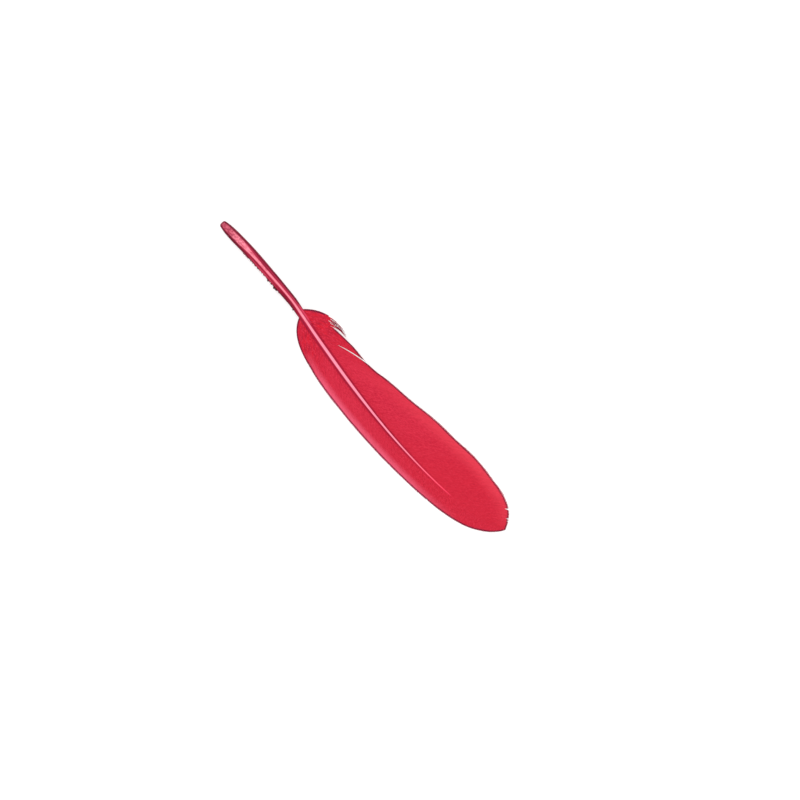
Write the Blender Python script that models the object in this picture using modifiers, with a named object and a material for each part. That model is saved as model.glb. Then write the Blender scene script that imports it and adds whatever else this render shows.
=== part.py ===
"""A goose quill feather lying on its underside: a tapered shaft and two vanes, grown as one piece.

X runs from the quill end to the tip, +Y is the side of the wide vane and +Z is up. All values
are metres or plain ratios. A place on the feather is given as (along, across): the distance from
the quill end towards the tip, and the distance from the straight line that joins the two, with
plus towards the wide vane.
"""

import math

import bmesh
import bpy
import numpy as np

# Overall
LENGTH = 0.1527
CHORD_Y = 0.00265  # where the line from quill end to tip lies, so that the feather's width is centred

# Shaft, from above: its centre line, and its width along that line
SHAFT_LINE = (
    (0.0000, 0.0002),
    (0.0060, 0.0003),
    (0.0144, 0.0005),
    (0.0287, 0.0002),
    (0.0342, -0.0001),
    (0.0392, -0.0004),
    (0.0447, -0.0012),
    (0.0507, -0.0022),
    (0.0627, -0.0038),
    (0.0815, -0.0059),
    (0.1027, -0.0071),
    (0.1311, -0.0059),
    (0.1437, -0.0041),
    (0.1527, 0.0000),
)
SHAFT_WIDTH = (
    (0.0000, 0.0025),
    (0.0027, 0.0035),
    (0.0060, 0.0040),
    (0.0100, 0.0041),
    (0.0247, 0.0037),
    (0.0370, 0.0035),
    (0.0447, 0.0030),
    (0.0527, 0.0026),
    (0.0757, 0.0021),
    (0.0990, 0.0014),
    (0.1311, 0.0007),
    (0.1527, 0.0000),
)
QUILL_END_ROUNDING = 0.0006
SHAFT_SOLID_END = 0.1417  # past here the shaft is thinner than the vane that it runs in
SHAFT_STATIONS = 40
SHAFT_SIDE_RESOLUTION = 5  # curve bevel resolution, for 14 sides

# Shaft, from the side: a straight quill that rises, then an arch down to the tip
QUILL_CENTRE_HEIGHT = 0.00145
QUILL_LENGTH = 0.0442
QUILL_RISE = 0.0436  # slope of the bare quill
TIP_HEIGHT = 0.00032

# Vanes
VANE_THICKNESS = 0.0005
VANE_ROWS = 58
VANE_COLUMNS = 14
ROOT_LIFT = 0.35  # how far above the shaft's centre the barbs grow, as a share of its radius
WIDE_EDGE = (
    (0.0605, 0.0060),
    (0.0630, 0.0049),
    (0.0667, 0.0047),
    (0.0739, 0.0043),
    (0.0777, 0.0046),
    (0.0830, 0.0056),
    (0.0939, 0.0068),
    (0.1049, 0.0084),
    (0.1158, 0.0091),
    (0.1267, 0.0098),
    (0.1355, 0.0091),
    (0.1421, 0.0082),
    (0.1452, 0.0072),
    (0.1472, 0.0064),
    (0.1487, 0.0053),
    (0.1502, 0.0038),
    (0.1516, 0.0019),
    (0.1527, 0.0000),
)
NARROW_EDGE = (
    (0.0574, -0.0113),
    (0.0633, -0.0126),
    (0.0698, -0.0136),
    (0.0786, -0.0144),
    (0.0961, -0.0151),
    (0.1114, -0.0147),
    (0.1227, -0.0138),
    (0.1311, -0.0126),
    (0.1370, -0.0112),
    (0.1428, -0.0091),
    (0.1464, -0.0069),
    (0.1492, -0.0047),
    (0.1517, -0.0017),
    (0.1527, 0.0000),
)
WIDE_EDGE_HEIGHT = (
    (0.0605, 0.0027),
    (0.0747, 0.0020),
    (0.0977, 0.0012),
    (0.1227, 0.0004),
    (0.1377, 0.0003),
    (0.1527, TIP_HEIGHT),
)
NARROW_EDGE_HEIGHT = (
    (0.0574, 0.0018),
    (0.0727, 0.0010),
    (0.0907, 0.0005),
    (0.1127, 0.0003),
    (0.1527, TIP_HEIGHT),
)

# Each barb runs from the shaft to the edge as one shallow curve with a control point. Start is
# where the lowest barb leaves the shaft. Crowding over 1 packs the barb ends towards the tip. An
# arch of 1 is a straight slope from shaft to edge. Bulge and base bend swell the vane's base.
WIDE_VANE = {
    "edge": WIDE_EDGE,
    "edge_height": WIDE_EDGE_HEIGHT,
    "start": 0.0423,
    "crowding": 1.35,
    "arch": 1.7,
    "bulge": 0.11,
    "base_bend": math.radians(24.0),
}
NARROW_VANE = {
    "edge": NARROW_EDGE,
    "edge_height": NARROW_EDGE_HEIGHT,
    "start": 0.0442,
    "crowding": 1.10,
    "arch": 1.35,
    "bulge": 0.0,
    "base_bend": math.radians(28.0),
}
BARB_BEND = math.radians(8.5)  # how much steeper a barb leaves the shaft than its end lies
BARB_REACH = 0.46  # distance to the control point, as a share of the barb's length
BASE_FADE = 0.035  # rows over which the bulge and base bend die away

# Splits between barbs: side, row of barbs, reach where the split begins, half its width in rows
SPLITS = (
    (1, 0.0230, 0.65, 0.0105),
    (1, 0.1020, 0.46, 0.0050),
    (1, 0.8450, 0.915, 0.0045),
    (1, 0.9005, 0.915, 0.0038),
    (1, 0.9140, 0.930, 0.0028),
    (-1, 0.6450, 0.93, 0.0030),
)
SPLIT_STEPS = 6
SPLIT_OVERRUN = 1.06  # reach at which a split's cutter ends, past the edge
CUTTER_HALF_HEIGHT = 0.003

REST_CUT_LENGTH = 0.024
REST_CUT_WIDTH = 0.010
REST_CUT_DEPTH = 0.002

WELD = 1e-7
QUILL_COLOUR = (0.72, 0.14, 0.20, 1.0)
VANE_COLOUR = (0.62, 0.025, 0.055, 1.0)


def clear_scene():
    for obj in list(bpy.data.objects):
        bpy.data.objects.remove(obj, do_unlink=True)


def new_collection(name):
    collection = bpy.data.collections.new(name)
    bpy.context.scene.collection.children.link(collection)
    return collection


def horn_material(name, colour, roughness):
    material = bpy.data.materials.new(name)
    material.use_nodes = True
    shader = material.node_tree.nodes["Principled BSDF"]
    shader.inputs["Base Color"].default_value = colour
    shader.inputs["Roughness"].default_value = roughness
    shader.inputs["Metallic"].default_value = 0.0
    material.diffuse_color = colour
    return material


def smooth_value(knots, place):
    """Value at a place on the smooth curve through (place, value) knots."""
    places, values = np.array(knots).T
    slopes = np.gradient(values, places)
    i = int(np.clip(np.searchsorted(places, place, side="right") - 1, 0, len(places) - 2))
    span = places[i + 1] - places[i]
    f = (place - places[i]) / span
    return float(
        (1 + 2 * f) * (1 - f) ** 2 * values[i]
        + f * (1 - f) ** 2 * span * slopes[i]
        + f * f * (3 - 2 * f) * values[i + 1]
        - f * f * (1 - f) * span * slopes[i + 1]
    )


def point_on_outline(knots, fraction):
    """(along, across) at a fraction of an outline's length."""
    points = np.array(knots)
    walked = np.concatenate(([0.0], np.cumsum(np.linalg.norm(np.diff(points, axis=0), axis=1))))
    place = fraction * walked[-1]
    along = smooth_value(np.column_stack((walked, points[:, 0])), place)
    across = smooth_value(np.column_stack((walked, points[:, 1])), place)
    return np.array((along, across))


def shaft_radius(along):
    """Half the shaft's width, rounded off at the quill end."""
    radius = smooth_value(SHAFT_WIDTH, along) / 2
    into_end = max(0.0, 1.0 - along / QUILL_END_ROUNDING)
    return radius - QUILL_END_ROUNDING * (1.0 - math.sqrt(1.0 - into_end**2))


def shaft_height(along):
    """Height of the shaft's centre: a straight rise, then an arch that ends at the tip."""
    height = QUILL_CENTRE_HEIGHT + QUILL_RISE * along
    drop = QUILL_CENTRE_HEIGHT + QUILL_RISE * LENGTH - TIP_HEIGHT
    past_quill = max(0.0, (along - QUILL_LENGTH) / (LENGTH - QUILL_LENGTH))
    return height - drop * past_quill**2


def in_row_frame(along, across, height):
    return (along - LENGTH / 2, across + CHORD_Y, height)


def turned(vector, angle):
    return np.array(
        (
            vector[0] * math.cos(angle) - vector[1] * math.sin(angle),
            vector[0] * math.sin(angle) + vector[1] * math.cos(angle),
        )
    )


def barb_point(row, reach):
    """Middle of the vane's thickness. Row runs 0 to 1 from the vane's base to the tip, and reach
    from 0 at the shaft to 1 at the wide vane's edge or -1 at the narrow vane's edge."""
    vane = WIDE_VANE if reach > 0 else NARROW_VANE
    far = abs(reach)
    root_along = vane["start"] + (LENGTH - vane["start"]) * row
    root = np.array((root_along, smooth_value(SHAFT_LINE, root_along)))
    end = point_on_outline(vane["edge"], 1 - (1 - row) ** vane["crowding"])
    near_base = math.exp(-row / BASE_FADE)
    bend = math.copysign(BARB_BEND + vane["base_bend"] * near_base, reach)
    control = root + (BARB_REACH + vane["bulge"] * near_base) * turned(end - root, bend)
    plan = (1 - far) ** 2 * root + 2 * far * (1 - far) * control + far**2 * end
    root_height = shaft_height(root_along) + ROOT_LIFT * shaft_radius(root_along)
    edge_height = smooth_value(vane["edge_height"], end[0])
    height = root_height + (edge_height - root_height) * far ** vane["arch"]
    return in_row_frame(plan[0], plan[1], height)


def mesh_from_curve(curve_object, collection):
    """The curve as a welded mesh object in its place, with the curve removed."""
    bpy.context.view_layer.update()
    evaluated = curve_object.evaluated_get(bpy.context.evaluated_depsgraph_get())
    mesh = bpy.data.meshes.new_from_object(evaluated)
    mesh_object = bpy.data.objects.new(curve_object.name + "_mesh", mesh)
    mesh_object.matrix_world = curve_object.matrix_world.copy()
    collection.objects.link(mesh_object)
    bpy.data.objects.remove(curve_object, do_unlink=True)
    shape = bmesh.new()
    shape.from_mesh(mesh)
    bmesh.ops.remove_doubles(shape, verts=shape.verts, dist=WELD)
    bmesh.ops.recalc_face_normals(shape, faces=shape.faces)
    shape.to_mesh(mesh)
    shape.free()
    return mesh_object


def as_guide(obj):
    """A cutter or an operand, which isn't a part itself."""
    obj.hide_render = True
    obj.display_type = "WIRE"


def poly_curve(name, points, radii, collection):
    curve = bpy.data.curves.new(name, "CURVE")
    spline = curve.splines.new("POLY")
    spline.points.add(len(points) - 1)
    for knot, point, radius in zip(spline.points, points, radii):
        knot.co = (*point, 1.0)
        knot.radius = radius
    obj = bpy.data.objects.new(name, curve)
    collection.objects.link(obj)
    return obj, curve, spline


def make_shaft(collection, material):
    """The whole shaft as one tapered tube with closed ends."""
    rounding = QUILL_END_ROUNDING * (1 - np.cos(np.linspace(0.0, math.pi / 2, 5)))
    rest = np.linspace(QUILL_END_ROUNDING, SHAFT_SOLID_END, SHAFT_STATIONS)[1:]
    stations = [float(along) for along in np.concatenate((rounding, rest))]
    points = [in_row_frame(a, smooth_value(SHAFT_LINE, a), shaft_height(a)) for a in stations]
    radii = [shaft_radius(a) for a in stations]
    obj, curve, _ = poly_curve("shaft", points, radii, collection)
    curve.dimensions = "3D"
    curve.bevel_depth = 1.0  # the points' radii are then the true ones
    curve.bevel_resolution = SHAFT_SIDE_RESOLUTION
    curve.use_fill_caps = True
    shaft = mesh_from_curve(obj, collection)
    shaft.data.materials.clear()
    shaft.data.materials.append(material)
    as_guide(shaft)
    return shaft


def make_split_cutter(name, side, row, begin, half_width, collection):
    """An upright sliver between two barbs, which widens to the vane's edge and runs past it."""
    reaches = np.linspace(begin, SPLIT_OVERRUN, SPLIT_STEPS)
    opening = half_width * (reaches - begin) / (1 - begin)
    lower = [barb_point(row - gap, side * reach) for reach, gap in zip(reaches, opening)]
    upper = [barb_point(row + gap, side * reach) for reach, gap in zip(reaches, opening)]
    outline = lower + upper[:0:-1]
    middle = sum(point[2] for point in outline) / len(outline)
    flat = [(x, y, 0.0) for x, y, _ in outline]
    obj, curve, spline = poly_curve(name, flat, [1.0] * len(flat), collection)
    curve.dimensions = "2D"
    curve.fill_mode = "BOTH"
    curve.extrude = CUTTER_HALF_HEIGHT
    spline.use_cyclic_u = True
    obj.location = (0.0, 0.0, middle)
    cutter = mesh_from_curve(obj, collection)
    as_guide(cutter)
    return cutter


def make_rest_cutter(collection):
    """A block under the quill end, which leaves the small flat that the quill rests on."""
    mesh = bpy.data.meshes.new("rest_cutter")
    block = bmesh.new()
    bmesh.ops.create_cube(block, size=1.0)
    bmesh.ops.scale(block, vec=(REST_CUT_LENGTH, REST_CUT_WIDTH, REST_CUT_DEPTH), verts=block.verts)
    block.to_mesh(mesh)
    block.free()
    cutter = bpy.data.objects.new("rest_cutter", mesh)
    cutter.location = (-LENGTH / 2 + REST_CUT_LENGTH / 4, CHORD_Y, -REST_CUT_DEPTH / 2)
    collection.objects.link(cutter)
    as_guide(cutter)
    return cutter


def make_vanes(collection, material):
    """Both vanes as one grid, from the narrow edge over the shaft to the wide edge."""
    grid = bmesh.new()
    bmesh.ops.create_grid(grid, x_segments=VANE_ROWS, y_segments=VANE_COLUMNS, size=1.0)
    for vertex in grid.verts:
        row = (vertex.co.x + 1) / 2
        vertex.co = barb_point(row, vertex.co.y)
    bmesh.ops.remove_doubles(grid, verts=grid.verts, dist=WELD)
    mesh = bpy.data.meshes.new("feather")
    grid.to_mesh(mesh)
    grid.free()
    mesh.materials.append(material)
    vanes = bpy.data.objects.new("feather", mesh)
    collection.objects.link(vanes)
    solidify = vanes.modifiers.new("thickness", "SOLIDIFY")
    solidify.thickness = VANE_THICKNESS
    solidify.offset = 0.0
    solidify.use_even_offset = True
    return vanes


def add_boolean(obj, operand, operation):
    boolean = obj.modifiers.new(operand.name, "BOOLEAN")
    boolean.operation = operation
    boolean.solver = "EXACT"
    boolean.material_mode = "TRANSFER"
    boolean.object = operand


def build():
    clear_scene()
    parts = new_collection("goose_quill_feather")
    guides = new_collection("guides")
    quill = horn_material("dyed_quill", QUILL_COLOUR, 0.35)
    vane = horn_material("dyed_vane", VANE_COLOUR, 0.6)
    feather = make_vanes(parts, vane)
    for number, (side, row, begin, half_width) in enumerate(SPLITS):
        cutter = make_split_cutter(f"split_{number}", side, row, begin, half_width, guides)
        add_boolean(feather, cutter, "DIFFERENCE")
    add_boolean(feather, make_shaft(guides, quill), "UNION")
    add_boolean(feather, make_rest_cutter(guides), "DIFFERENCE")


build()
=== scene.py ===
"""Looks of a red dyed goose quill feather that lies on its underside on a pale table.

X runs from the quill end to the tip, +Y is the side of the wide vane and +Z is up. All values
are metres or plain ratios unless a name says otherwise. A place on the feather is given as
(along, across): the distance from the quill end towards the tip, and the distance from the
straight line that joins the two, with plus towards the wide vane.
"""

import math

import bpy
import numpy as np
from mathutils import Matrix, Vector


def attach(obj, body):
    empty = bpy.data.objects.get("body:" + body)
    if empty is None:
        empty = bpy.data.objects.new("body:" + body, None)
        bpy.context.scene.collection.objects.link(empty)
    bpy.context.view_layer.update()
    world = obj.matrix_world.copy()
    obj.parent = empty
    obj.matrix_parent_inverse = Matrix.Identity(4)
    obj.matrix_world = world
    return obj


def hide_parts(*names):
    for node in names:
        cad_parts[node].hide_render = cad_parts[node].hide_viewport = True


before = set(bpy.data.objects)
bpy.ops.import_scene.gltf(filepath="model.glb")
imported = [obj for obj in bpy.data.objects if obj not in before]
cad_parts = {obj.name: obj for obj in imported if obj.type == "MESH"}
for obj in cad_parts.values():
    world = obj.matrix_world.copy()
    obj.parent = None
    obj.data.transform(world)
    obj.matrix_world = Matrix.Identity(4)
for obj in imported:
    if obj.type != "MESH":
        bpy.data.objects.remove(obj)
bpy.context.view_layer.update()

NODE = "feather"
BODY = "root"
MM = 0.001

# The feather's own shape, as the solid has it
LENGTH = 0.1527
CHORD_Y = 0.00265
SHAFT_LINE = (
    (0.0000, 0.0002),
    (0.0060, 0.0003),
    (0.0144, 0.0005),
    (0.0287, 0.0002),
    (0.0342, -0.0001),
    (0.0392, -0.0004),
    (0.0447, -0.0012),
    (0.0507, -0.0022),
    (0.0627, -0.0038),
    (0.0815, -0.0059),
    (0.1027, -0.0071),
    (0.1311, -0.0059),
    (0.1437, -0.0041),
    (0.1527, 0.0000),
)
SHAFT_WIDTH = (
    (0.0000, 0.0025),
    (0.0027, 0.0035),
    (0.0060, 0.0040),
    (0.0100, 0.0041),
    (0.0247, 0.0037),
    (0.0370, 0.0035),
    (0.0447, 0.0030),
    (0.0527, 0.0026),
    (0.0757, 0.0021),
    (0.0990, 0.0014),
    (0.1311, 0.0007),
    (0.1527, 0.0000),
)
QUILL_END_ROUNDING = 0.0006
QUILL_CENTRE_HEIGHT = 0.00145
QUILL_LENGTH = 0.0442
QUILL_RISE = 0.0436
TIP_HEIGHT = 0.00032
ROOT_LIFT = 0.35
WIDE_VANE = {
    "side": 1,
    "edge": (
        (0.0605, 0.0060),
        (0.0630, 0.0049),
        (0.0667, 0.0047),
        (0.0739, 0.0043),
        (0.0777, 0.0046),
        (0.0830, 0.0056),
        (0.0939, 0.0068),
        (0.1049, 0.0084),
        (0.1158, 0.0091),
        (0.1267, 0.0098),
        (0.1355, 0.0091),
        (0.1421, 0.0082),
        (0.1452, 0.0072),
        (0.1472, 0.0064),
        (0.1487, 0.0053),
        (0.1502, 0.0038),
        (0.1516, 0.0019),
        (0.1527, 0.0000),
    ),
    "edge_height": (
        (0.0605, 0.0027),
        (0.0747, 0.0020),
        (0.0977, 0.0012),
        (0.1227, 0.0004),
        (0.1377, 0.0003),
        (0.1527, TIP_HEIGHT),
    ),
    "start": 0.0423,
    "crowding": 1.35,
    "arch": 1.7,
    "bulge": 0.11,
    "base_bend": math.radians(24.0),
}
NARROW_VANE = {
    "side": -1,
    "edge": (
        (0.0574, -0.0113),
        (0.0633, -0.0126),
        (0.0698, -0.0136),
        (0.0786, -0.0144),
        (0.0961, -0.0151),
        (0.1114, -0.0147),
        (0.1227, -0.0138),
        (0.1311, -0.0126),
        (0.1370, -0.0112),
        (0.1428, -0.0091),
        (0.1464, -0.0069),
        (0.1492, -0.0047),
        (0.1517, -0.0017),
        (0.1527, 0.0000),
    ),
    "edge_height": (
        (0.0574, 0.0018),
        (0.0727, 0.0010),
        (0.0907, 0.0005),
        (0.1127, 0.0003),
        (0.1527, TIP_HEIGHT),
    ),
    "start": 0.0442,
    "crowding": 1.10,
    "arch": 1.35,
    "bulge": 0.0,
    "base_bend": math.radians(28.0),
}
BARB_BEND = math.radians(8.5)
BARB_REACH = 0.46
BASE_FADE = 0.035

# Barbs
BARB_COUNT = 290
LAST_ROW = 0.997
BARB_HEIGHT = 0.075 * MM  # of the ridge above the middle of the vane's thickness, near the shaft
BARB_OVERLAP = 1.48
BARB_SECTION = (  # across in half widths from base side to tip side, and height in barb heights
    (-1.00, -0.50),
    (-0.45, 0.25),
    (0.00, 1.00),
    (0.50, 0.40),
    (1.00, 0.20),
    (0.40, -0.70),
    (0.00, -1.70),
    (-0.35, -0.80),
)
BARB_REACHES = np.concatenate((np.linspace(0.0, 0.90, 15), (0.93, 0.955, 0.975, 0.988, 0.996, 1.0)))
TAPER_DISTANCE = 0.30 * MM  # from the free edge, over which a barb narrows to its end
LEAST_TAPER = 0.47
# dark rim of the free edge: partly the barb ends' deeper red, partly painted shade
RIM_DISTANCE = (0.02 * MM, 0.14 * MM, 0.33 * MM, 0.58 * MM)  # from the free edge: see rim_share
RIM_OUTSIDE = 0.35  # how dark the very edge is, for a dark rim of 1
EDGE_SAMPLES = 500
BASE_OUTLINE_REACHES = (0.10, 0.62)
SPLIT_OUTLINE_REACHES = (0.66, 1.00)
NARROW_OUTLINE_REACHES = (0.10, 1.00)
PAST_FIRST_SPLIT = 0.0234  # row of the first barb on the tip side of the wide vane's first split
ROW_STEP = 1e-4
BARB_LENGTH = 1.019  # as a share of the reach to the solid's edge
LENGTH_WANDER = 0.0025
LENGTH_SCATTER = 0.002
SWAY_WANDER = 0.0005  # in rows, at a barb's end
SWAY_SCATTER = 0.00014
LIFT_WANDER = 0.018 * MM  # up and down, at a barb's end
FLATTENING = 0.45  # how much lower the ridge is at a barb's end
TINT_WANDER = 0.08
TINT_SCATTER = 0.20
WIDE_SEED = 7
NARROW_SEED = 11

# Below the first split of the wide vane the barbs hold together only so far: row and reach
RAGGED_ROWS = 0.0228
RAGGED_LINE = ((0.0000, 0.54), (0.0100, 0.55), (RAGGED_ROWS, 0.62))
RAGGED_SPREAD = 0.035  # of the reaches about that line
RAGGED_LENGTH = 20 * MM  # of the barbs there
OVERLAP_REACH = 0.06  # of the barbs past the shaft's line where it has sunk under them
OVERLAP_ROWS = (0.74, 0.86)
WISP_COUNT = 24
WISP_CLUMPS = 6
WISP_GATHERING = 0.8  # how close the strands of a clump come, as a share of their distance
WISP_STATIONS = 16
WISP_SIDES = 6
WISP_OVERLAP = 0.06  # of a wisp's start under the vane, as reach
WISP_RADIUS = 0.100 * MM
WISP_DRIFT = 0.16 * MM  # sideways at a wisp's end
WISP_RISE = 0.35 * MM  # up or down at a wisp's end
WISP_THINNING = 0.65
WISP_SEED = 23

# Splits in a vane: row, reach where it begins, reach where it closes, widest half gap in rows
WIDE_SPLITS = (
    (0.0230, 0.62, 1.40, 0.0105),
    (0.1020, 0.36, 1.50, 0.0061),
    (0.8450, 0.90, 1.25, 0.0060),
    (0.9005, 0.90, 1.25, 0.0055),
    (0.9140, 0.92, 1.20, 0.0040),
)
NARROW_SPLITS = ((0.6450, 0.92, 1.20, 0.0035),)
SPLIT_DECAY = 2.0  # rows over which the barbs beside a split are pushed aside, in half gaps
BASE_HOLD = 0.005  # rows at the vane's base that are pushed less

# Camera and the photograph's frame
PHOTO_PIXELS = 800
PIXEL = 0.150 / 411.15  # metres of the feather's length to a pixel of the photograph
PHOTO_TURN = math.radians(47.27)  # from the photograph's right to the feather's +X, clockwise
PHOTO_CENTRE_ALONG = 251.1 * PIXEL
PHOTO_CENTRE_ACROSS = 11.1 * PIXEL
LENS_MM = 85.0
SENSOR_MM = 36.0


def smooth_value(knots, place):
    """Values at places on the smooth curve through (place, value) knots."""
    places, values = np.array(knots).T
    slopes = np.gradient(values, places)
    i = np.clip(np.searchsorted(places, place, side="right") - 1, 0, len(places) - 2)
    span = places[i + 1] - places[i]
    f = (place - places[i]) / span
    return (
        (1 + 2 * f) * (1 - f) ** 2 * values[i]
        + f * (1 - f) ** 2 * span * slopes[i]
        + f * f * (3 - 2 * f) * values[i + 1]
        - f * f * (1 - f) * span * slopes[i + 1]
    )


def smooth_step(low, high, value):
    f = np.clip((value - low) / (high - low), 0.0, 1.0)
    return f * f * (3 - 2 * f)


def fade_out(low, high, value):
    return 1 - smooth_step(low, high, value)


def point_on_outline(knots, fraction):
    """(along, across) at fractions of an outline's length."""
    points = np.array(knots)
    walked = np.concatenate(([0.0], np.cumsum(np.linalg.norm(np.diff(points, axis=0), axis=1))))
    place = fraction * walked[-1]
    along = smooth_value(np.column_stack((walked, points[:, 0])), place)
    across = smooth_value(np.column_stack((walked, points[:, 1])), place)
    return np.stack((along, across), axis=-1)


def shaft_radius(along):
    radius = smooth_value(SHAFT_WIDTH, along) / 2
    into_end = np.clip(1.0 - along / QUILL_END_ROUNDING, 0.0, 1.0)
    return radius - QUILL_END_ROUNDING * (1.0 - np.sqrt(1.0 - into_end**2))


def shaft_height(along):
    height = QUILL_CENTRE_HEIGHT + QUILL_RISE * along
    drop = QUILL_CENTRE_HEIGHT + QUILL_RISE * LENGTH - TIP_HEIGHT
    past_quill = np.clip((along - QUILL_LENGTH) / (LENGTH - QUILL_LENGTH), 0.0, None)
    return height - drop * past_quill**2


def in_row_frame(along, across, height):
    return np.stack((along - LENGTH / 2, across + CHORD_Y, height), axis=-1)


def shaft_point(along):
    return in_row_frame(along, smooth_value(SHAFT_LINE, along), shaft_height(along))


def barb_point(vane, row, reach):
    """Middle of the vane's thickness, for arrays of rows (0 at the base to 1 at the tip) and
    reaches (0 at the shaft to 1 at the edge)."""
    row, reach = np.broadcast_arrays(np.clip(row, 0.0, 1.0), reach)
    root_along = vane["start"] + (LENGTH - vane["start"]) * row
    root = np.stack((root_along, smooth_value(SHAFT_LINE, root_along)), axis=-1)
    end = point_on_outline(vane["edge"], 1 - (1 - row) ** vane["crowding"])
    near_base = np.exp(-row / BASE_FADE)
    bend = vane["side"] * (BARB_BEND + vane["base_bend"] * near_base)
    chord = end - root
    turned = np.stack(
        (
            chord[..., 0] * np.cos(bend) - chord[..., 1] * np.sin(bend),
            chord[..., 0] * np.sin(bend) + chord[..., 1] * np.cos(bend),
        ),
        axis=-1,
    )
    control = root + (BARB_REACH + vane["bulge"] * near_base)[..., None] * turned
    f = reach[..., None]
    plan = (1 - f) ** 2 * root + 2 * f * (1 - f) * control + f**2 * end
    root_height = shaft_height(root_along) + ROOT_LIFT * shaft_radius(root_along)
    edge_height = smooth_value(vane["edge_height"], end[..., 0])
    height = root_height + (edge_height - root_height) * np.maximum(reach, 0.0) ** vane["arch"]
    return in_row_frame(plan[..., 0], plan[..., 1], height)


def unit(vectors):
    return vectors / np.maximum(np.linalg.norm(vectors, axis=-1, keepdims=True), 1e-12)


def wander(rng, count, spread):
    """Random values of about unit size that change smoothly over `spread` neighbours."""
    offsets = np.arange(-3 * spread, 3 * spread + 1)
    kernel = np.exp(-0.5 * (offsets / spread) ** 2)
    values = np.convolve(rng.normal(size=count + len(kernel) - 1), kernel, mode="valid")
    return values / values.std()


def strands_object(name, rings, maps, material):
    """One mesh of closed strands. Rings is an array (strand, station, side, xyz), and each map
    (strand, station, side + 1, uv) becomes a UV map of that name."""
    strands, stations, sides, _ = rings.shape
    index = np.arange(strands * stations * sides).reshape(strands, stations, sides)
    after = np.roll(index, -1, axis=2)
    quads = np.stack(
        (index[:, :-1], after[:, :-1], after[:, 1:], index[:, 1:]), axis=-1
    ).reshape(-1, 4)
    starts = index[:, 0, ::-1]
    ends = index[:, -1]
    mesh = bpy.data.meshes.new(name)
    mesh.from_pydata(
        rings.reshape(-1, 3).tolist(), [], quads.tolist() + starts.tolist() + ends.tolist()
    )
    for map_name, values in maps.items():
        corners = np.stack(
            (values[:, :-1, :-1], values[:, :-1, 1:], values[:, 1:, 1:], values[:, 1:, :-1]),
            axis=3,
        ).reshape(-1, 2)
        start_corners = values[:, 0, -2::-1].reshape(-1, 2)
        end_corners = values[:, -1, :-1].reshape(-1, 2)
        layer = mesh.uv_layers.new(name=map_name, do_init=False)
        everything = np.concatenate((corners, start_corners, end_corners))
        layer.uv.foreach_set("vector", everything.astype(np.float32).ravel())
    mesh.materials.append(material)
    mesh.shade_smooth()
    obj = bpy.data.objects.new(name, mesh)
    bpy.context.scene.collection.objects.link(obj)
    return obj


class Nodes:
    """Short calls that build one material's node tree."""

    def __init__(self, name):
        self.material = bpy.data.materials.new(name)
        self.material.use_nodes = True
        self.tree = self.material.node_tree
        self.shader = self.tree.nodes["Principled BSDF"]
        self.output = self.tree.nodes["Material Output"]

    def add(self, kind, inputs=None, **settings):
        made = self.tree.nodes.new(kind)
        for key, value in settings.items():
            setattr(made, key, value)
        for key, value in (inputs or {}).items():
            self.set(made.inputs[key], value)
        return made

    def set(self, socket, value):
        if isinstance(value, bpy.types.NodeSocket):
            self.tree.links.new(value, socket)
        else:
            socket.default_value = value

    def attribute(self, name):
        return self.add("ShaderNodeAttribute", attribute_name=name).outputs["Fac"]

    def math(self, operation, a, b=0.0):
        return self.add("ShaderNodeMath", {0: a, 1: b}, operation=operation).outputs[0]

    def noise(self, vector, scale, detail=2.0, roughness=0.5):
        made = self.add(
            "ShaderNodeTexNoise",
            {"Vector": vector, "Scale": scale, "Detail": detail, "Roughness": roughness},
        )
        return made.outputs["Fac"]

    def stretched(self, map_name, scale):
        """Coordinates of a UV map times a scale each way."""
        source = self.add("ShaderNodeUVMap", uv_map=map_name).outputs["UV"]
        made = self.add("ShaderNodeMapping", {"Vector": source, "Scale": (*scale, 1.0)})
        return made.outputs["Vector"]

    def ramp(self, factor, low, high):
        """0 below low to 1 above high."""
        made = self.add(
            "ShaderNodeMapRange",
            {"Value": factor, "From Min": low, "From Max": high},
            interpolation_type="SMOOTHSTEP",
        )
        return made.outputs["Result"]

    def fade(self, factor, low, high):
        """1 below low to 0 above high."""
        return self.math("SUBTRACT", 1.0, self.ramp(factor, low, high))

    def times(self, first, *others):
        for other in others:
            first = self.math("MULTIPLY", first, other)
        return first

    def mix(self, factor, a, b):
        made = self.add("ShaderNodeMix", data_type="RGBA", blend_type="MIX")
        self.set(made.inputs[0], factor)
        self.set(made.inputs[6], a)
        self.set(made.inputs[7], b)
        return made.outputs[2]


def linear(red, green, blue):
    """A colour of 0 to 255 sRGB values as the linear one that a shader takes."""
    found = []
    for value in (red, green, blue):
        share = value / 255
        found.append(share / 12.92 if share <= 0.04045 else ((share + 0.055) / 1.055) ** 2.4)
    return (*found, 1.0)


def give_attributes(obj, layers, shape):
    """Each array, spread over the strands' points, as a point attribute of that name."""
    for name, values in layers.items():
        spread = np.broadcast_to(values, shape).astype(np.float32)
        layer = obj.data.attributes.new(name, "FLOAT", "POINT")
        layer.data.foreach_set("value", np.ascontiguousarray(spread).ravel())


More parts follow.
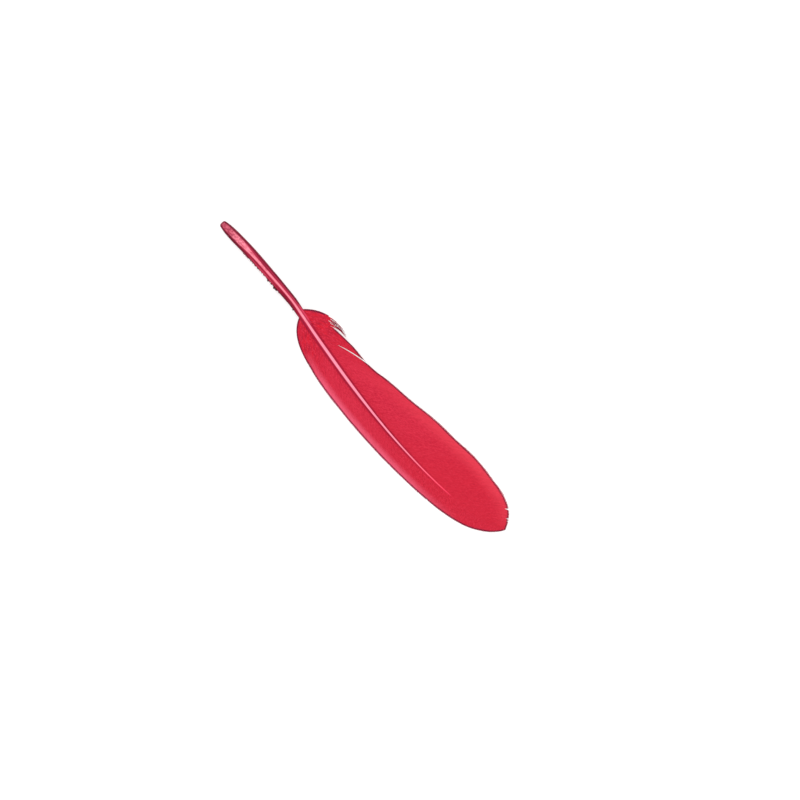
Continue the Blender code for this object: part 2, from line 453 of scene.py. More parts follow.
LIGHT_RED = linear(226, 50, 76)
DARK_RED = linear(217, 41, 69)
TIP_RED = linear(221, 34, 56)
DEEP_RED = linear(200, 26, 54)
# deeper red of the vane's base, also used as painted shade on the barbs beside the shaft
BASE_AND_SHADE_RED = linear(206, 26, 52)
STREAK_RED = linear(240, 64, 90)
DASH_RED = linear(232, 30, 52)
DASH_DARK = linear(184, 26, 54)
# dark rim of the free edge: partly the barb ends' deeper red, partly painted shade
EDGE_RIM_AND_SHADE = linear(122, 22, 54)
ROOT_SHADE = linear(168, 24, 55)
# pale band along the top: the horn's paler top together with a painted highlight
QUILL_PALE = linear(248, 138, 156)
RACHIS_PALE = linear(252, 146, 167)
TIP_PALE = linear(250, 84, 108)
LEFT_FLANK = linear(154, 20, 49)
RIGHT_FLANK = linear(170, 40, 68)
# rachis sides: deeper red, darkened further by painted shade beside the rachis
RACHIS_FLANK = linear(160, 20, 50)
FIBRE_DARK = linear(128, 12, 40)
FIBRE_LIGHT = linear(206, 66, 92)
MOTTLE_DARK = linear(150, 46, 70)
END_DULL = linear(158, 40, 64)
# dark edges of the shaft: partly pooled dye, partly painted shade
QUILL_RIM_AND_SHADE = linear(100, 0, 30)
STUMP_DARK = linear(44, 0, 14)
FLARE_RED = linear(236, 68, 100)
STUMP_RED = linear(164, 14, 50)


# Each vane's painted light in a lighter zone inside its free edge, and the strength of its speckle
# near the tip
WIDE_LOOK = {
    "painted_light": linear(240, 67, 88),
    "painted_light_distance": (0.7, 6.0),  # millimetres from the free edge, where it is full and gone
    "painted_light_rows": (0.05, 0.52, 0.68, 1.10),  # where it begins, is full, starts to fade and is gone
    "tip_contrast": 0.62,
}
NARROW_LOOK = {
    "painted_light": linear(246, 100, 130),
    "painted_light_distance": (0.7, 3.3),
    "painted_light_rows": (-0.02, 0.14, 0.50, 0.84),
    "tip_contrast": 1.30,
}
# Repeats of each pattern over all rows of a vane, and along a barb
STREAK_SCALE = (240.0, 9.0)
SPECKLE_SCALE = (150.0, 27.0)
DASH_SCALE = (190.0, 5.5)
PATCH_SCALE = (26.0, 5.0)
BARBULE_SCALE = (900.0, 160.0)
BASE_ROWS = (0.02, 0.20)  # over which the deeper red of the vane's base ends
BARB_TRANSLUCENCY = 0.2


def barb_dye(n, row, pattern, tip_contrast):
    """Red that differs from barb to barb, deeper at the vane's base, and with painted shade in a
    deeper red beside the shaft.
    """
    colour = n.mix(n.attribute("tint"), DARK_RED, LIGHT_RED)
    colour = n.mix(n.times(n.ramp(row, 0.35, 0.75), 0.5), colour, TIP_RED)
    base = n.fade(row, *BASE_ROWS)
    # painted shade: deeper red on the barbs beside the shaft, fading towards the tip
    root = n.times(n.fade(n.attribute("reach"), 0.05, 0.30), n.fade(row, 0.45, 0.75))
    shade = n.math("MAXIMUM", n.times(base, 0.65), n.times(root, 0.30))
    colour = n.mix(shade, colour, BASE_AND_SHADE_RED)
    dashes = n.noise(n.stretched("strand", DASH_SCALE), 1.0, 1.0)
    colour = n.mix(n.times(n.ramp(dashes, 0.50, 0.64), 0.75, base), colour, DASH_RED)
    colour = n.mix(n.times(n.fade(dashes, 0.34, 0.48), 0.75, base), colour, DASH_DARK)
    contrast = n.math("ADD", 1.0, n.times(base, 0.3))
    change = n.times(n.ramp(row, 0.35, 0.70), tip_contrast - 1.0)
    contrast = n.math("ADD", contrast, change)
    colour = n.mix(n.times(n.ramp(pattern, 0.50, 0.62), 0.50, contrast), colour, STREAK_RED)
    return n.mix(n.times(n.fade(pattern, 0.38, 0.50), 0.55, contrast), colour, DEEP_RED)


def barb_painted_light(n, row, speckle, look):
    """Share of the painted light in a lighter zone inside the free edge, uneven and finely broken.
    """
    first, full, fading, gone = look["painted_light_rows"]
    near_edge = n.fade(n.attribute("edge_mm"), *look["painted_light_distance"])
    painted_light = n.times(near_edge, n.ramp(row, first, full), n.fade(row, fading, gone))
    patches = n.ramp(n.noise(n.stretched("strand", PATCH_SCALE), 1.0, 3.0, 0.6), 0.3, 0.7)
    painted_light = n.times(painted_light, n.math("ADD", 0.70, n.times(patches, 0.15)))
    return n.math("ADD", painted_light, n.times(painted_light, n.ramp(speckle, 0.30, 0.65), 0.20))


def barb_material(name, look):
    """Dyed barbs: each a little lighter or deeper than its neighbours, speckled by its barbules,
    with painted light in a lighter zone inside the free edge, a dark rim on that edge that is partly
    deeper red and partly painted shade, and a painted shadow line along the shaft."""
    n = Nodes(name)
    row = n.attribute("row")
    streaks = n.noise(n.stretched("strand", STREAK_SCALE), 1.0, 1.0, 0.5)
    speckle = n.noise(n.stretched("strand", SPECKLE_SCALE), 1.0, 2.0, 0.7)
    pattern = n.math("ADD", n.times(streaks, 0.35), n.times(speckle, 0.65))
    colour = barb_dye(n, row, pattern, look["tip_contrast"])
    # painted light: a lighter zone inside the free edge
    colour = n.mix(barb_painted_light(n, row, speckle, look), colour, look["painted_light"])
    # painted shadow: a dark line on the barbs along the shaft
    shadow_by_shaft = n.fade(n.attribute("root_mm"), -0.05, 0.45)
    line = n.times(shadow_by_shaft, n.fade(row, 0.62, 0.80), n.ramp(row, -0.05, 0.20))
    colour = n.mix(n.times(line, 0.6), colour, ROOT_SHADE)
    # dark rim on the free edge: partly deeper red, partly painted shade
    colour = n.mix(n.times(n.attribute("rim"), 0.95), colour, EDGE_RIM_AND_SHADE)
    n.set(n.shader.inputs["Base Color"], colour)
    n.shader.inputs["Roughness"].default_value = 0.6
    n.shader.inputs["Specular IOR Level"].default_value = 0.12
    barbules = n.noise(n.stretched("strand", BARBULE_SCALE), 1.0, 1.0)
    bump = n.add("ShaderNodeBump", {"Height": barbules, "Strength": 0.3, "Distance": 0.00002})
    n.set(n.shader.inputs["Normal"], bump.outputs["Normal"])
    through = n.add("ShaderNodeBsdfTranslucent", {"Color": colour})
    both = n.add(
        "ShaderNodeMixShader",
        {0: BARB_TRANSLUCENCY, 1: n.shader.outputs["BSDF"], 2: through.outputs["BSDF"]},
    )
    n.set(n.output.inputs["Surface"], both.outputs["Shader"])
    return n.material


# Repeats of each pattern to a metre along the shaft and around it
FIBRE_SCALE = (60.0, 1400.0)
BREAK_SCALE = (300.0, 900.0)
SPOT_SCALE = (900.0, 1500.0)


def shaft_material():
    """Horn: a pale band along the top that is partly paler horn and partly painted highlight, flanks
    with long dark and light fibres, dark edges that are partly pooled dye and partly painted shade,
    and mottled towards the quill end."""
    n = Nodes("dyed_horn")
    quill = n.attribute("quill")
    fibres = n.noise(n.stretched("strand", FIBRE_SCALE), 1.0, 2.0, 0.6)
    breaks = n.noise(n.stretched("strand", BREAK_SCALE), 1.0, 2.0, 0.6)
    spots = n.noise(n.stretched("strand", SPOT_SCALE), 1.0, 2.0, 0.7)
    flank = n.mix(n.attribute("right"), LEFT_FLANK, RIGHT_FLANK)
    flank = n.mix(n.times(n.ramp(fibres, 0.50, 0.62), 0.85), flank, FIBRE_DARK)
    flank = n.mix(n.times(n.fade(fibres, 0.36, 0.49), 0.60), flank, FIBRE_LIGHT)
    flank = n.mix(n.attribute("shade"), flank, FIBRE_DARK)
    # rachis sides: deeper red with painted shade
    rachis = n.mix(n.attribute("towards_tip"), RACHIS_FLANK, DARK_RED)
    flank = n.mix(quill, rachis, flank)
    flank = n.mix(n.attribute("flare"), flank, FLARE_RED)
    # pale band: partly paler horn, partly painted highlight
    band = n.mix(quill, RACHIS_PALE, QUILL_PALE)
    band = n.mix(n.attribute("towards_tip"), band, TIP_PALE)
    band = n.mix(n.times(n.ramp(fibres, 0.45, 0.75), 0.22), band, RIGHT_FLANK)
    band = n.mix(n.times(n.ramp(breaks, 0.50, 0.66), 0.55, quill), band, RIGHT_FLANK)
    colour = n.mix(n.attribute("pale"), flank, band)
    colour = n.mix(n.attribute("dull"), colour, END_DULL)
    mottle = n.times(n.ramp(spots, 0.44, 0.58), n.attribute("mottle"))
    colour = n.mix(mottle, colour, MOTTLE_DARK)
    grain = n.math("ADD", 0.74, n.times(n.ramp(fibres, 0.40, 0.58), 0.26))
    # dark edges: partly pooled dye, partly painted shade
    colour = n.mix(n.times(n.attribute("rim"), grain), colour, QUILL_RIM_AND_SHADE)
    n.set(n.shader.inputs["Base Color"], colour)
    n.shader.inputs["Roughness"].default_value = 0.42
    n.shader.inputs["Specular IOR Level"].default_value = 0.07
    n.shader.inputs["Subsurface Weight"].default_value = 0.05
    n.shader.inputs["Subsurface Radius"].default_value = (0.0010, 0.0003, 0.0003)
    n.shader.inputs["Subsurface Scale"].default_value = 1.0
    bump = n.add("ShaderNodeBump", {"Height": fibres, "Strength": 0.35, "Distance": 0.00004})
    n.set(n.shader.inputs["Normal"], bump.outputs["Normal"])
    return n.material


def stump_material():
    n = Nodes("dyed_stumps")
    speckle = n.noise(n.stretched("strand", (40.0, 6.0)), 1.0, 2.0)
    red = n.mix(n.ramp(speckle, 0.35, 0.7), LEFT_FLANK, STUMP_RED)
    n.set(n.shader.inputs["Base Color"], n.mix(n.attribute("dark"), red, STUMP_DARK))
    n.shader.inputs["Roughness"].default_value = 0.6
    n.shader.inputs["Specular IOR Level"].default_value = 0.2
    return n.material


# Shaft
SHAFT_SIDES = 64
SHAFT_STATIONS = 320
SHAFT_VISIBLE_END = 0.1440
UMBILICUS = ((0.0013, 0.00020), (0.0006, 0.00030), (0.0001, 0.00048))  # along, radius
GROOVE_DEPTH = 0.22
GROOVE_WIDTH = 0.42  # radians
QUILL_POWER = 2.0  # of the section's superellipse: 2 is round
RACHIS_POWER = 2.7
VANED = (0.039, 0.058)  # along, between which the round quill becomes the squarer rachis
SUNK = (0.1230, 0.1370)  # along, between which the rachis sinks under its barbs
BAND_HALF_WIDTH = (
    (0.0000, 0.62),
    (0.0050, 0.60),
    (0.0100, 0.50),
    (0.0136, 0.35),
    (0.0173, 0.22),
    (0.0209, 0.20),
    (0.0290, 0.16),
    (0.0399, 0.16),
    (0.0447, 0.24),
    (0.0501, 0.28),
    (0.0556, 0.36),
    (0.0665, 0.41),
    (0.0900, 0.38),
    (0.1121, 0.34),
    (0.1527, 0.30),
)
BAND_CENTRE = (
    (0.0000, 0.06),
    (0.0071, 0.06),
    (0.0137, 0.00),
    (0.0173, -0.05),
    (0.0209, -0.05),
    (0.0290, -0.04),
    (0.0330, 0.03),
    (0.0400, 0.02),
    (0.0501, 0.10),
    (0.0700, 0.07),
    (0.0950, 0.10),
    (0.1527, 0.06),
)
LEFT_RIM_START = (  # of the dark edge towards the narrow vane, as a share of the half width
    (0.0000, 0.47),
    (0.0100, 0.47),
    (0.0136, 0.57),
    (0.0173, 0.74),
    (0.0280, 0.90),
    (0.0340, 0.60),
    (0.0400, 0.60),
    (0.0450, 0.85),
    (0.1527, 0.85),
)
RIGHT_RIM_START = (
    (0.0000, 0.47),
    (0.0100, 0.47),
    (0.0173, 0.52),
    (0.0209, 0.54),
    (0.0400, 0.65),
    (0.0450, 0.85),
    (0.1527, 0.85),
)
RIM_RISE = 0.17
# Stretches along the shaft over which a colour comes or goes
END_RIM_GOES = (0.0003, 0.0012)
END_DULL_GOES = (0.0020, 0.0120)
END_MOTTLE_GOES = (0.004, 0.015)
MOTTLE_WEAKENS = (0.012, 0.022)
DARK_COMES = (0.0320, 0.0360)
DARK_GOES = (0.0410, 0.0450)
FLARE_COMES = (0.0395, 0.0425)  # a light red patch where the wide vane starts
FLARE_GOES = (0.0460, 0.0500)
QUILL_GOES = (0.040, 0.054)
RIM_GOES = (0.044, 0.060)
TIP_COLOUR_COMES = (0.0980, 0.1270)
BAND_GOES = (0.1225, 0.1325)
MIDDLE = (-0.3, 0.3)  # across the shaft, between its left and its right side


def make_shaft():
    """Quill and shaft as one loft: round and closed at the quill end with its small hole, then
    flatter at the sides, with a groove underneath that starts where the vanes do."""
    hole = np.array(UMBILICUS)
    rounding = QUILL_END_ROUNDING * (1 - np.cos(np.linspace(0.0, math.pi / 2, 9)))
    body = np.linspace(QUILL_END_ROUNDING, SHAFT_VISIBLE_END, SHAFT_STATIONS)[1:]
    outside = np.concatenate((rounding, body))
    along = np.concatenate((hole[:, 0], outside))
    radius = np.concatenate((hole[:, 1], shaft_radius(outside)))
    angle = np.linspace(0.0, 2 * math.pi, SHAFT_SIDES, endpoint=False)
    past_quill = smooth_step(*VANED, along)[:, None]
    power = QUILL_POWER + (RACHIS_POWER - QUILL_POWER) * past_quill
    across, upward = np.cos(angle)[None, :], np.sin(angle)[None, :]
    reach = (np.abs(across) ** power + np.abs(upward) ** power) ** (-1 / power)
    groove_angle = np.angle(np.exp(1j * (angle + math.pi / 2)))[None, :]
    groove = GROOVE_DEPTH * past_quill * np.exp(-((groove_angle / GROOVE_WIDTH) ** 2))
    reach = reach * (1 - groove)
    centre = shaft_point(along)
    centre[:, 2] -= radius * smooth_step(*SUNK, along)
    order = np.argsort(along)
    forward = np.empty_like(centre)
    forward[order] = unit(np.gradient(shaft_point(along[order]), axis=0))
    sideways = unit(np.cross(np.array((0.0, 0.0, 1.0)), forward))
    up = np.cross(forward, sideways)
    lateral = across * reach * radius[:, None]
    vertical = upward * reach * radius[:, None]
    rings = (
        centre[:, None, :]
        + lateral[..., None] * sideways[:, None, :]
        + vertical[..., None] * up[:, None, :]
    )
    rings[..., 2] = np.maximum(rings[..., 2], 0.0)
    turn = np.arange(SHAFT_SIDES + 1) / SHAFT_SIDES
    walked = np.repeat(along[:, None], SHAFT_SIDES + 1, axis=1)
    around = turn[None, :] * 2 * math.pi * radius[:, None]
    strand = np.stack((walked, around), axis=-1)[None]
    share = np.linspace(0.0, 1.0, len(along))[:, None]
    bake = np.stack(np.broadcast_arrays(share, turn[None, :]), axis=-1)[None]
    obj = strands_object("shaft", rings[None], {"OFBake": bake, "strand": strand}, shaft_material())
    paint_shaft(obj, along, np.broadcast_to(across * reach, lateral.shape), upward)
    return obj


def paint_shaft(obj, along, x, upward):
    """Masks for the material. X is the place across the shaft from -1 to 1, as seen from above."""
    place = np.repeat(along[:, None], x.shape[1], axis=1)
    upward = np.broadcast_to(upward, x.shape)
    # where the pale band lies: partly paler horn, partly painted highlight
    off_band = np.abs(x - smooth_value(BAND_CENTRE, place)) - smooth_value(BAND_HALF_WIDTH, place)
    pale = (1 - smooth_step(-0.10, 0.14, off_band)) * smooth_step(-0.1, 0.35, upward)
    # dark edges of the shaft: partly pooled dye, partly painted shade at its sides and underneath
    left, right = smooth_value(LEFT_RIM_START, place), smooth_value(RIGHT_RIM_START, place)
    rim_start = np.where(x < 0.0, left, right)
    above = smooth_step(rim_start, rim_start + RIM_RISE, np.abs(x))
    below = 1.0 - 0.5 * smooth_step(0.0, 0.7, -upward)
    side = np.where(upward > 0.0, above, below) * fade_out(*RIM_GOES, place)
    flare = smooth_step(*FLARE_COMES, place) * fade_out(*FLARE_GOES, place)
    flare = flare * smooth_step(0.50, 0.80, x)
    dark_stretch = smooth_step(*DARK_COMES, place) * fade_out(*DARK_GOES, place)
    mottle = 0.30 + 0.50 * fade_out(*END_MOTTLE_GOES, place)
    give_attributes(
        obj,
        {
            "pale": pale * fade_out(*BAND_GOES, place),
            "dull": 0.64 * fade_out(*END_DULL_GOES, place) * smooth_step(-0.2, 0.3, upward),
            "shade": dark_stretch * (0.5 - 0.25 * smooth_step(*MIDDLE, x)),
            "flare": 0.8 * flare,
            "towards_tip": smooth_step(*TIP_COLOUR_COMES, place),
            "right": smooth_step(*MIDDLE, x),
            "quill": fade_out(*QUILL_GOES, place),
            "mottle": mottle - 0.25 * smooth_step(*MOTTLE_WEAKENS, place),
            "rim": np.maximum(side, 0.90 * fade_out(*END_RIM_GOES, place)),
        },
        x.shape,
    )


def opened(splits, row, reach, home):
    """Rows moved apart at each split, so that the barbs on its two sides leave a gap. Home is each
    barb's own row, which says on which side of a split it stays."""
    moved = row
    for at, begin, close, half_gap in splits:
        f = np.clip((reach - begin) / (close - begin), 0.0, 1.0)
        gap = half_gap * np.sin(math.pi * f)
        fading = np.exp(-np.abs(home - at) / (SPLIT_DECAY * half_gap))
        moved = moved + np.sign(home - at) * gap * fading * (1 - np.exp(-home / BASE_HOLD))
    return moved


def distance_to(line, points):
    """Distance from each point to the nearest point of a line, seen from above."""
    away = points[..., None, :2] - line[:, :2]
    return np.sqrt(np.sum(away**2, axis=-1)).min(axis=-1)


def rim_share(away):
    """How dark the rim is at a distance inside the free edge, partly the barb ends' deeper red and
    partly painted shade: darkest a little inside it.
    """
    low, full, fading, gone = RIM_DISTANCE
    rising = RIM_OUTSIDE + (1 - RIM_OUTSIDE) * smooth_step(low, full, away)
    return rising * (1 - smooth_step(fading, gone, away))


def edge_line(vane):
    edge = point_on_outline(vane["edge"], np.linspace(0.0, 1.0, EDGE_SAMPLES))
    return in_row_frame(edge[:, 0], edge[:, 1], np.zeros(EDGE_SAMPLES))


def outline_barb(vane, splits, row):
    """The part of a barb that is the vane's outline by its side, not its end."""
    if vane["side"] < 0:
        span = NARROW_OUTLINE_REACHES
    else:
        span = SPLIT_OUTLINE_REACHES if row > 0 else BASE_OUTLINE_REACHES
    reaches = np.linspace(*span, EDGE_SAMPLES)
    rows = np.full(EDGE_SAMPLES, row)
    return barb_point(vane, opened(splits, rows, reaches, rows), reaches)


def make_vane(name, vane, splits, material, seed):
    """All barbs of a vane as one mesh. Each is a thin ribbon with a ridge on both faces, and its
    tip side lies over the next barb."""
    rng = np.random.default_rng(seed)
    count = BARB_COUNT
    row = ((np.arange(count) + 0.5) / count * LAST_ROW)[:, None]
    places, reaches = np.array(RAGGED_LINE).T
    ragged = (vane["side"] > 0) & (row < RAGGED_ROWS)
    spread = RAGGED_SPREAD * rng.uniform(-1.5, 1.5, (count, 1))
    limit = np.where(ragged, np.interp(row, places, reaches) + spread, 1.0)
    first = -OVERLAP_REACH * smooth_step(*OVERLAP_ROWS, row)
    reach = first + (limit - first) * BARB_REACHES[None, :]
    length_share = BARB_LENGTH + LENGTH_WANDER * wander(rng, count, 3)
    length_share = length_share + LENGTH_SCATTER * rng.normal(size=count)
    reach_here = reach * length_share[:, None]
    sway = SWAY_WANDER * wander(rng, count, 3)[:, None]
    sway = sway + SWAY_SCATTER * rng.normal(size=(count, 1))

    def spine(step):
        swayed = row + step + sway * reach**2
        return barb_point(vane, opened(splits, swayed, reach, row + step), reach_here)

    centre = spine(0.0)
    spacing = (spine(ROW_STEP) - spine(-ROW_STEP)) * (LAST_ROW / count / (2 * ROW_STEP))
    forward = unit(np.gradient(centre, axis=1))
    up = unit(np.cross(spacing, forward) * vane["side"])
    tipward = unit(np.cross(forward, up) * vane["side"])
    to_edge = np.where(reach_here < 1.0, distance_to(edge_line(vane), centre), 0.0)
    to_edge = np.where(ragged, (limit - reach) * RAGGED_LENGTH, to_edge)
    taper = LEAST_TAPER + (1 - LEAST_TAPER) * smooth_step(0.0, TAPER_DISTANCE, to_edge)
    half_width = 0.5 * np.sum(spacing * tipward, axis=-1) * BARB_OVERLAP * taper
    height = BARB_HEIGHT * (1 - FLATTENING * reach) * (0.4 + 0.6 * taper)
    lift = LIFT_WANDER * wander(rng, count, 1)[:, None] * np.maximum(reach, 0.0) ** 1.5
    centre = centre + lift[..., None] * up
    section = np.array(BARB_SECTION)
    rings = (
        centre[:, :, None, :]
        + (half_width[..., None] * section[:, 0])[..., None] * tipward[:, :, None, :]
        + (height[..., None] * section[:, 1])[..., None] * up[:, :, None, :]
    )
    if vane["side"] < 0:
        rings = rings[:, :, ::-1]
    sides = len(section)
    shape = (count, len(BARB_REACHES), sides + 1)
    turn = np.arange(sides + 1) / sides
    strand_u = np.broadcast_to(row[:, :, None] + turn * 0.5 / count, shape)
    strand_v = np.broadcast_to(reach[:, :, None], shape)
    cell_u = (np.arange(count)[:, None, None] + 0.04 + 0.92 * turn) / count
    cell_v = BARB_REACHES[None, :, None]
    maps = {
        "OFBake": np.stack(np.broadcast_arrays(cell_u, cell_v), axis=-1),
        "strand": np.stack((strand_u, strand_v), axis=-1),
    }
    obj = strands_object(name, rings, maps, material)
    # nearness to the outline, for the dark rim that is partly painted shade
    to_outline = distance_to(outline_barb(vane, splits, 0.0), centre)
    nearest = np.where(ragged, to_outline, np.minimum(to_edge, to_outline))
    if vane["side"] > 0:
        past_split = distance_to(outline_barb(vane, splits, PAST_FIRST_SPLIT), centre)
        nearest = np.where(row > RAGGED_ROWS, np.minimum(nearest, past_split), nearest)
    shaft_along = np.linspace(0.03, LENGTH, EDGE_SAMPLES)
    place = centre[..., 0] + LENGTH / 2
    to_root = distance_to(shaft_point(shaft_along), centre) - shaft_radius(np.minimum(place, LENGTH))
    tint = 0.5 + TINT_WANDER * wander(rng, count, 2) + TINT_SCATTER * rng.normal(size=count)
    give_attributes(
        obj,
        {
            "reach": reach[:, :, None],
            "row": row[:, :, None],
            "tint": np.clip(tint, 0.0, 1.0)[:, None, None],
            "edge_mm": to_edge[:, :, None] / MM,
            "rim": rim_share(nearest)[:, :, None],
            "root_mm": to_root[:, :, None] / MM,
        },
        rings.shape[:3],
    )
    return obj


def tubes(centre, radius, sides):
    """Closed round sections about centre lines (strand, station, xyz)."""
    angle = np.linspace(0.0, 2 * math.pi, sides, endpoint=False)[:, None]
    forward = unit(np.gradient(centre, axis=1))[:, :, None, :]
    aside = unit(np.cross(forward, np.array((0.0, 0.0, 1.0))))
    above = np.cross(aside, forward)
    around = np.cos(angle) * aside + np.sin(angle) * above
    return centre[:, :, None, :] + radius[..., None, None] * around


def tube_cells(count, stations, sides):
    """A UV map with a column for each strand."""
    turn = np.arange(sides + 1) / sides
    u = (np.arange(count)[:, None, None] + 0.05 + 0.9 * turn) / count
    v = np.linspace(0.0, 1.0, stations)[None, :, None]
    return np.stack(np.broadcast_arrays(u, v), axis=-1)


def make_wisps(material):
    """Loose ends of the wide vane's lowest barbs, which cross each other beyond the ragged line."""
    rng = np.random.default_rng(WISP_SEED)
    count = WISP_COUNT
    row = np.linspace(0.0008, RAGGED_ROWS - 0.0006, count)[:, None]
    places, reaches = np.array(RAGGED_LINE).T
    start = np.interp(row, places, reaches) - WISP_OVERLAP
    end = np.where(row > 0.8 * RAGGED_ROWS, 0.97, rng.uniform(0.70, 1.0, (count, 1)))
    f = np.linspace(0.0, 1.0, WISP_STATIONS)[None, :]
    reach = start + (end - start) * f
    clump_row = row.reshape(WISP_CLUMPS, -1).mean(axis=1).repeat(count // WISP_CLUMPS)[:, None]
    gathered = row + WISP_GATHERING * (clump_row - row) * smooth_step(0.0, 0.3, f)
    drift = rng.normal(0.0, 1.0, (count, 1)) * f**1.5
    turns, phase = rng.uniform(0.6, 1.4, (count, 1)), rng.uniform(0, 1, (count, 1))
    wave = 0.5 * np.sin(2 * math.pi * (turns * f + phase)) * f
    centre = barb_point(WIDE_VANE, opened(WIDE_SPLITS, gathered, reach, row), reach)
    forward = unit(np.gradient(centre, axis=1))
    aside = unit(np.cross(forward, np.array((0.0, 0.0, 1.0))))
    centre = centre + (WISP_DRIFT * (drift + wave))[..., None] * aside
    centre[..., 2] += WISP_RISE * rng.normal(0.0, 1.0, (count, 1)) * f**1.5
    radius = WISP_RADIUS * rng.uniform(0.7, 1.35, (count, 1)) * (1 - WISP_THINNING * f**2)
    rings = tubes(centre, radius, WISP_SIDES)
    cells = tube_cells(count, WISP_STATIONS, WISP_SIDES)
    obj = strands_object("loose_barbs", rings, {"OFBake": cells, "strand": cells}, material)
    give_attributes(
        obj,
        {
            "reach": reach[:, :, None],
            "row": row[:, :, None],
            "tint": rng.uniform(0.0, 1.0, (count, 1, 1)),
            "edge_mm": np.full((1, 1, 1), 5.0),
            # painted shade where the loose barbs cross, uneven from strand to strand
            "rim": rng.uniform(0.45, 1.0, (count, 1, 1)) * smooth_step(0.25, 0.55, f)[..., None],
            "root_mm": np.full((1, 1, 1), 9.0),
        },
        rings.shape[:3],
    )
    return obj


# Stumps of stripped barbs. Dark ones: along, side, how many, spread and size
FRINGE_COUNT = 96
FRINGE_ALONG = (0.0125, 0.0335)
DARK_STUMPS = (
    (0.0213, -1, 3, 0.25 * MM, 0.42 * MM),
    (0.0268, -1, 5, 0.22 * MM, 0.85 * MM),
    (0.0285, -1, 3, 0.55 * MM, 0.70 * MM),
    (0.0303, -1, 8, 0.38 * MM, 0.95 * MM),
    (0.0313, -1, 6, 0.30 * MM, 0.80 * MM),
    (0.0409, -1, 3, 0.15 * MM, 0.60 * MM),
    (0.0355, 1, 1, 0.10 * MM, 0.25 * MM),
    (0.0388, 1, 2, 0.30 * MM, 0.25 * MM),
)
STUMP_STATIONS = 5
STUMP_SIDES = 6
STUMP_ROUGHNESS = 0.18
STUMP_SEED = 41


def stump_places(rng):
    """(along, side, length, dark) of every stump."""
    places = []
    for along in np.sort(rng.uniform(*FRINGE_ALONG, FRINGE_COUNT)):
        places.append((along, -1, rng.uniform(0.20, 0.55) * MM, rng.uniform(0.0, 0.6)))
    for middle, side, count, spread, size in DARK_STUMPS:
        for along in middle + rng.uniform(-1.0, 1.0, count) * spread:
            places.append((along, side, rng.uniform(0.7, 1.1) * size, rng.uniform(0.7, 1.0)))
    return places


def make_stumps():
    """Short tapered stubs along both edges of the quill."""
    rng = np.random.default_rng(STUMP_SEED)
    angle = np.linspace(0.0, 2 * math.pi, STUMP_SIDES, endpoint=False)
    places = stump_places(rng)
    rings = []
    for along, side, length, _ in places:
        here = np.array([along])
        radius = float(shaft_radius(here)[0])
        tilt = rng.uniform(-0.15, 0.35)
        out = np.array((rng.uniform(0.2, 0.8), side * math.cos(tilt), math.sin(tilt)))
        out /= np.linalg.norm(out)
        outward = np.array((0.0, side * 0.96 * math.cos(tilt), 0.9 * math.sin(tilt)))
        root = shaft_point(here)[0] + outward * radius
        aside = unit(np.cross(out, np.array((0.0, 0.0, 1.0))))
        above = np.cross(aside, out)
        thick = rng.uniform(0.05, 0.09) * MM + 0.16 * length
        stub = []
        for f in np.linspace(0.0, 1.0, STUMP_STATIONS):
            width = thick * (1 - 0.55 * f**2) * (0.35 if f == 1.0 else 1.0)
            middle = root + out * length * (f - 0.15) + above * length * 0.12 * f * f
            wobble = 1 + STUMP_ROUGHNESS * rng.normal(size=STUMP_SIDES)
            stub.append(
                middle
                + (np.cos(angle) * wobble * width)[:, None] * aside
                + (np.sin(angle) * wobble * width)[:, None] * above
            )
        rings.append(stub)
    rings = np.array(rings)
    count = len(rings)
    cells = tube_cells(count, STUMP_STATIONS, STUMP_SIDES)
    obj = strands_object("stumps", rings, {"OFBake": cells, "strand": cells}, stump_material())
    dark = np.array([place[3] for place in places])[:, None, None]
    give_attributes(obj, {"dark": dark}, rings.shape[:3])
    return obj


# Table and lamp
FLOOR_HALF_SIZE = 2.5
FLOOR_DROP = 0.00002  # under the feather
FLOOR_GREY = 0.45
FLOOR_GLOW = 0.60
LAMP_PLACE = (-0.45, 0.10, 0.62)
LAMP_SIZE = 0.35
LAMP_WATTS = 2.0


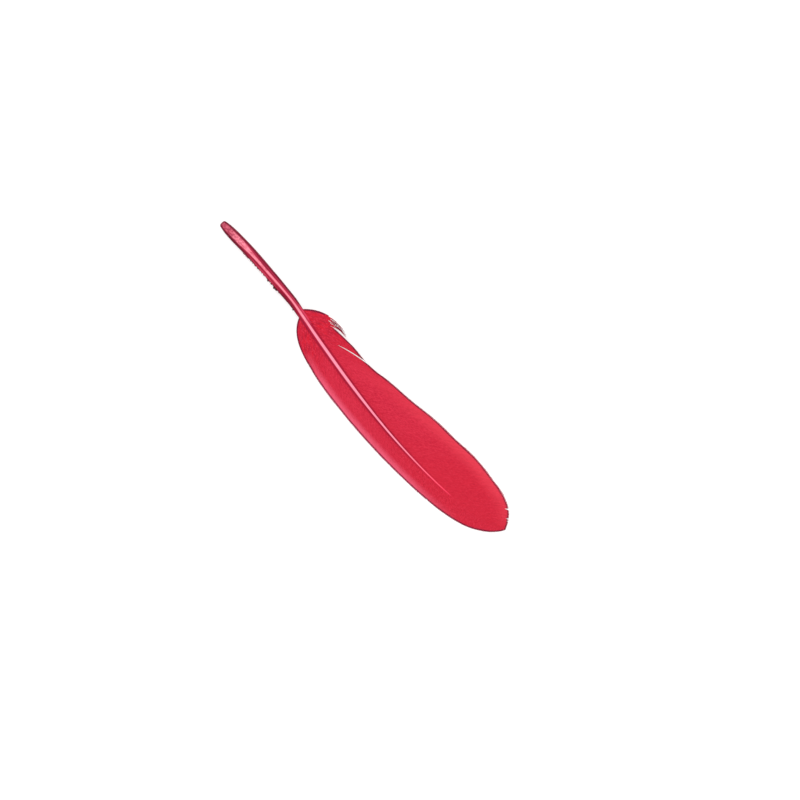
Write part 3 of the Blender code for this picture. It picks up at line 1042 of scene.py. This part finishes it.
def make_floor():
    """A table that is lit from within a little, so that shadows on it stay faint."""
    mesh = bpy.data.meshes.new("table_top")
    size = FLOOR_HALF_SIZE
    corners = [(-size, -size, 0), (size, -size, 0), (size, size, 0), (-size, size, 0)]
    mesh.from_pydata(corners, [], [(0, 1, 2, 3)])
    floor = bpy.data.objects.new("table_top", mesh)
    floor.location.z = -FLOOR_DROP
    n = Nodes("white_table")
    n.shader.inputs["Base Color"].default_value = (FLOOR_GREY, FLOOR_GREY, FLOOR_GREY, 1.0)
    n.shader.inputs["Roughness"].default_value = 0.9
    n.shader.inputs["Specular IOR Level"].default_value = 0.1
    n.shader.inputs["Emission Color"].default_value = (1.0, 1.0, 1.0, 1.0)
    n.shader.inputs["Emission Strength"].default_value = FLOOR_GLOW
    mesh.materials.append(n.material)
    bpy.context.scene.collection.objects.link(floor)


def make_light():
    """White surroundings, and a large soft lamp beyond the quill end."""
    world = bpy.data.worlds.new("studio")
    world.use_nodes = True
    background = world.node_tree.nodes["Background"]
    background.inputs["Color"].default_value = (1.0, 1.0, 1.0, 1.0)
    background.inputs["Strength"].default_value = 1.0
    bpy.context.scene.world = world
    lamp = bpy.data.lights.new("soft_lamp", "AREA")
    lamp.shape = "DISK"
    lamp.size = LAMP_SIZE
    lamp.energy = LAMP_WATTS
    holder = bpy.data.objects.new("soft_lamp", lamp)
    place = Vector(LAMP_PLACE)
    holder.location = place
    holder.rotation_euler = (-place).to_track_quat("-Z", "Y").to_euler()
    bpy.context.scene.collection.objects.link(holder)


def make_camera():
    """Straight above, turned so that the feather points down and right as in the photograph."""
    camera = bpy.data.cameras.new("camera")
    camera.lens = LENS_MM
    camera.sensor_width = SENSOR_MM
    camera.clip_start = 0.01
    camera.clip_end = 20.0
    holder = bpy.data.objects.new("camera", camera)
    distance = PHOTO_PIXELS * PIXEL * LENS_MM / SENSOR_MM
    mid_height = shaft_height(np.array([LENGTH / 2]))[0] / 2
    x, y = PHOTO_CENTRE_ALONG - LENGTH / 2, PHOTO_CENTRE_ACROSS + CHORD_Y
    place = Matrix.Translation((x, y, mid_height + distance))
    holder.matrix_world = place @ Matrix.Rotation(PHOTO_TURN, 4, "Z")
    bpy.context.scene.collection.objects.link(holder)
    bpy.context.scene.camera = holder


make_camera()
make_light()
make_floor()
bpy.context.scene.view_settings.view_transform = "Standard"

wide_barbs = barb_material("wide_barbs", WIDE_LOOK)
narrow_barbs = barb_material("narrow_barbs", NARROW_LOOK)
pieces = [
    make_shaft(),
    make_vane("wide_vane_barbs", WIDE_VANE, WIDE_SPLITS, wide_barbs, WIDE_SEED),
    make_vane("narrow_vane_barbs", NARROW_VANE, NARROW_SPLITS, narrow_barbs, NARROW_SEED),
    make_wisps(wide_barbs),
    make_stumps(),
]
for piece in pieces:
    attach(piece, BODY)
    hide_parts(NODE)
